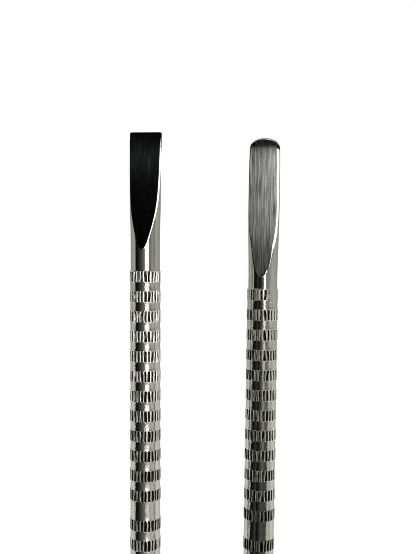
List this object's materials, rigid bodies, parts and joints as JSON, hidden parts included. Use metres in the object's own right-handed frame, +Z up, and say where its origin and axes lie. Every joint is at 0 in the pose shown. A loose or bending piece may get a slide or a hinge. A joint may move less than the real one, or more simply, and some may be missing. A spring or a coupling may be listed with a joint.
{
  "type": "cuticle pusher",
  "caption": "Slim double-ended steel cuticle pusher: banded knurled handle with a square-ended blade on one end and a round-ended blade on the other.",
  "frame": {"origin": "on the tool's axis, at the middle of the wide plain stretch between the two knurled halves of the handle, where it is held", "axes": "+X along the tool from the square end to the round end, +Y across it, +Z up, the way both ground faces look"},
  "size_m": [0.128, 0.0054, 0.0052],
  "materials": {
    "polished_steel": "polished stainless steel bar with a rolled straight knurl in bands",
    "ground_steel": "stainless steel, polished back and sides, working face ground with fine lengthwise lines"
  },
  "bodies": {
    "root": {"handle": "polished_steel", "square_pusher": "ground_steel", "round_pusher": "ground_steel"}
  },
  "joints": []
}
